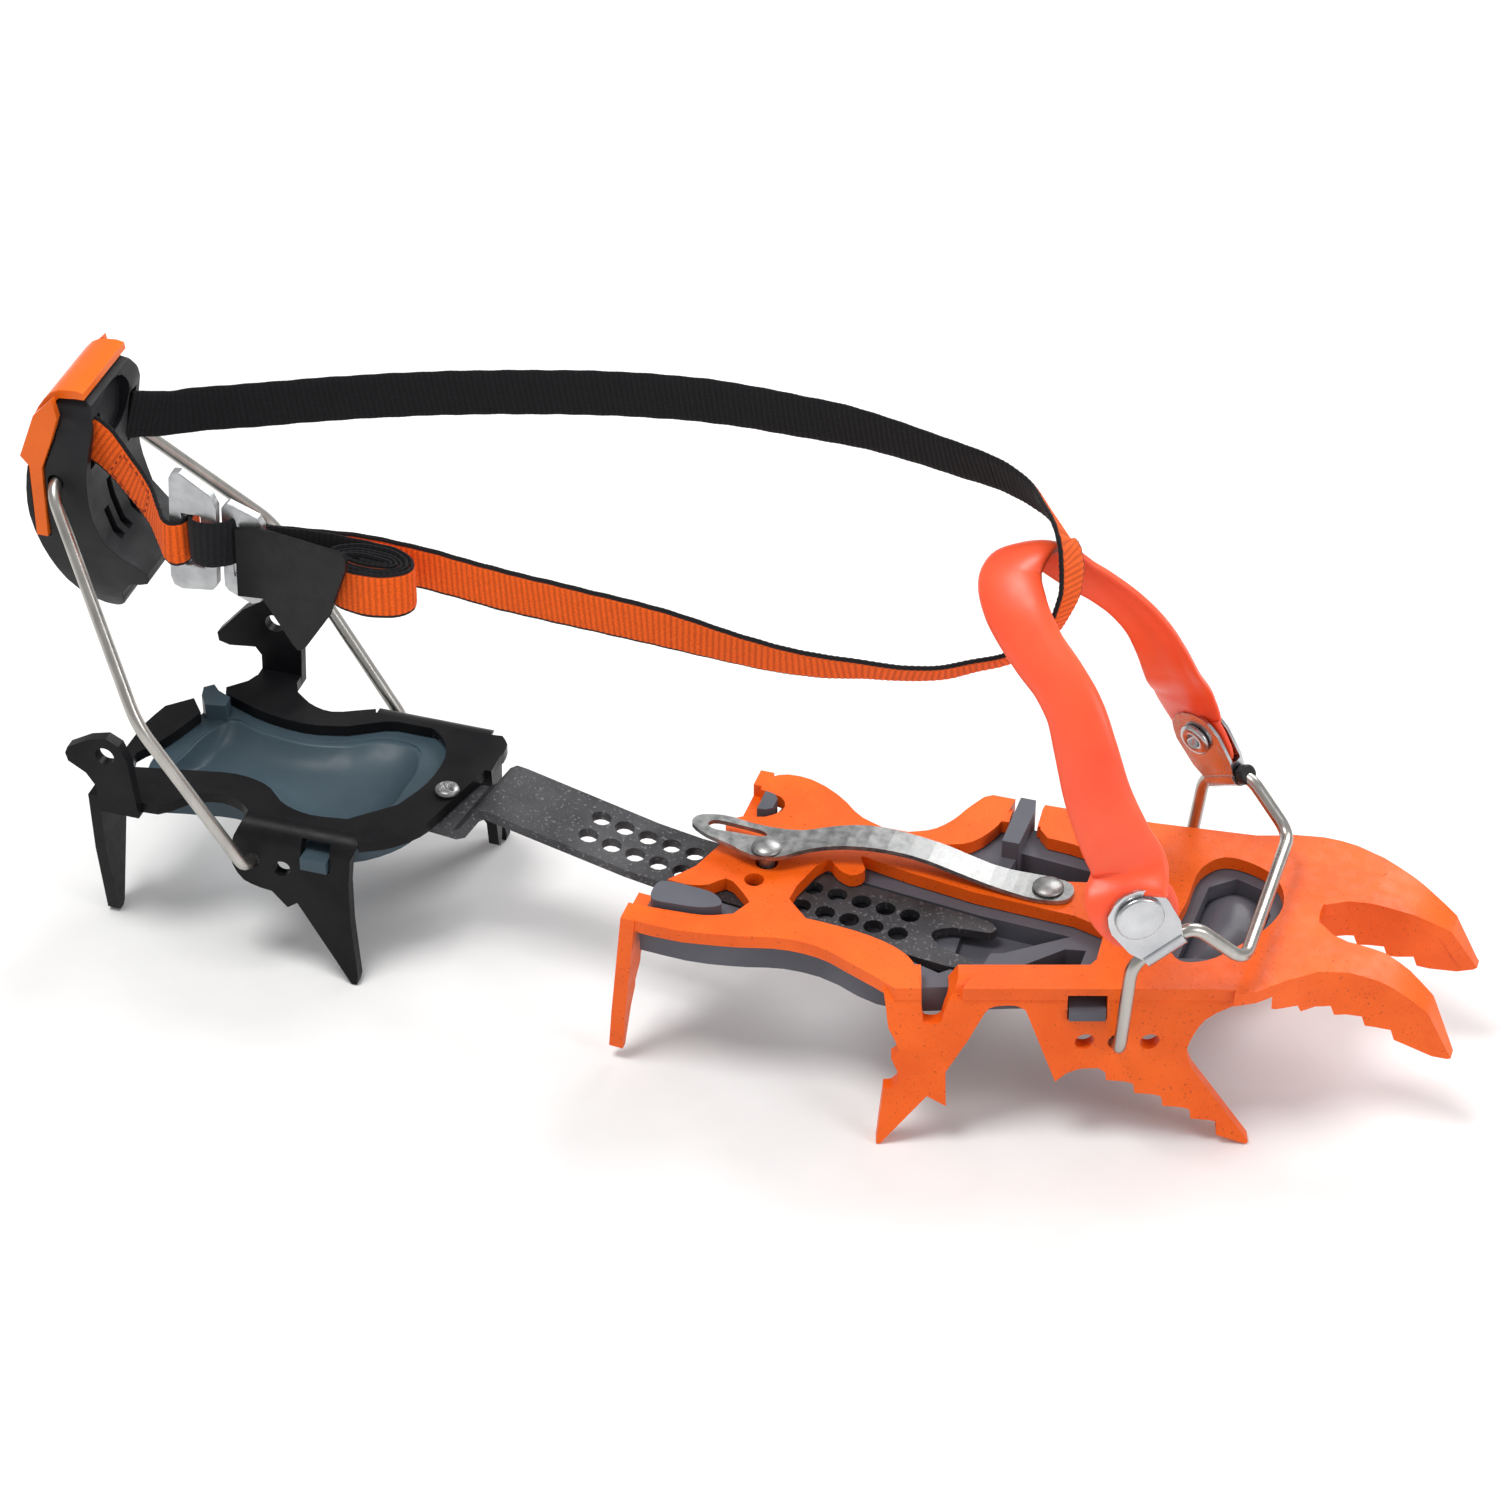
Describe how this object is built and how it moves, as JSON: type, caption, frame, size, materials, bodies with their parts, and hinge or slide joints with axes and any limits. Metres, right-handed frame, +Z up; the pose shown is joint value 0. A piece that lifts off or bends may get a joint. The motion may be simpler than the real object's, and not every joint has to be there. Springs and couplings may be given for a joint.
{
  "type": "step-in mountaineering crampon",
  "caption": "Step-in crampon for the right boot: hinged toe bail with flexible harness, sliding link bar, heel bail with lever, strap and ring buckle.",
  "frame": {"origin": "centre of the footprint's bounding box, on the ground under the lowest teeth", "axes": "+X to the toe, +Y to the inner side of the right foot, +Z up"},
  "size_m": [0.3646, 0.0994, 0.1594],
  "materials": {
    "orange_paint": "fine speckled powder coat, satin",
    "black_paint": "smooth semi-gloss black coat",
    "bar_steel": "dark grey fine-grained heat-treated steel",
    "zinc": "mottled zinc plate, satin",
    "stainless": "drawn stainless wire, satin",
    "cast_silver": "cast, tumbled satin silver",
    "grey_plastic": "moulded, faint satin",
    "slate_plastic": "moulded, faint satin",
    "lever_plastic": "moulded matte black",
    "orange_plastic": "moulded, glossy",
    "harness_rubber": "slightly translucent elastomer, satin",
    "orange_web": "ribbed flat webbing, orange face, black edges",
    "black_web": "ribbed flat webbing, black face"
  },
  "bodies": {
    "front": {"front_frame": "orange_paint", "front_antiball_plate": "grey_plastic", "leaf_rivet": "zinc"},
    "rear": {"link_bar": "bar_steel", "rear_frame": "black_paint", "rear_antiball_plate": "slate_plastic", "rear_screw": "zinc"},
    "lock": {"lock_leaf": "zinc", "lock_pin": "zinc"},
    "toe_bail": {"toe_bail": "stainless", "toe_harness": "harness_rubber", "clip_near": "zinc", "clip_far": "zinc", "clip_rivet_near": "zinc", "clip_rivet_far": "zinc", "strap_toe_loop": "orange_web"},
    "heel_bail": {"heel_bail": "stainless", "buckle_ring_rear": "cast_silver", "buckle_ring_front": "cast_silver", "strap_fold": "black_web", "strap_tail_coil": "orange_web", "strap_far_run": "black_web", "strap_near_run": "orange_web"},
    "heel_lever": {"heel_lever": "lever_plastic", "strap_lever_tab": "orange_web"},
    "adjuster": {"lever_adjuster": "orange_plastic"},
    "buckle_tab": {"buckle_tab": "black_paint"}
  },
  "joints": [
    {"name": "bar_slide", "type": "slide", "parent": "front", "child": "rear", "axis": [0.9925, -0.1219, 0], "range_m": [-0.026, 0], "deforming": ["strap_far_run", "strap_near_run"]},
    {"name": "lock_lift", "type": "hinge", "parent": "front", "child": "lock", "pos_m": [0.07865, 0.00368, 0.045], "axis": [0, 1, 0], "range_deg": [0, 5], "stiffness_Nm_per_rad": 3, "springref_deg": -5.73, "deforming": ["lock_leaf"]},
    {"name": "toe_bail_swing", "type": "hinge", "parent": "front", "child": "toe_bail", "pos_m": [0.10475, 0.0071, 0.0291], "axis": [0, 1, 0], "range_deg": [-20, 10], "deforming": ["strap_toe_loop"]},
    {"name": "heel_bail_swing", "type": "hinge", "parent": "rear", "child": "heel_bail", "pos_m": [-0.11325, 0.00293, 0.0309], "axis": [0.245, 0.9695, 0], "range_deg": [-10, 20]},
    {"name": "heel_lever_flip", "type": "hinge", "parent": "heel_bail", "child": "heel_lever", "pos_m": [-0.17295, 0.00328, 0.1255], "axis": [0, 1, 0], "range_deg": [-30, 30], "deforming": ["strap_lever_tab"]},
    {"name": "adjuster_slide", "type": "slide", "parent": "heel_lever", "child": "adjuster", "axis": [0, 0, 1], "range_m": [0, 0.006]},
    {"name": "buckle_tab_flip", "type": "hinge", "parent": "heel_bail", "child": "buckle_tab", "pos_m": [-0.12195, -0.02032, 0.118], "axis": [0, 0, -1], "range_deg": [0, 35]}
  ]
}
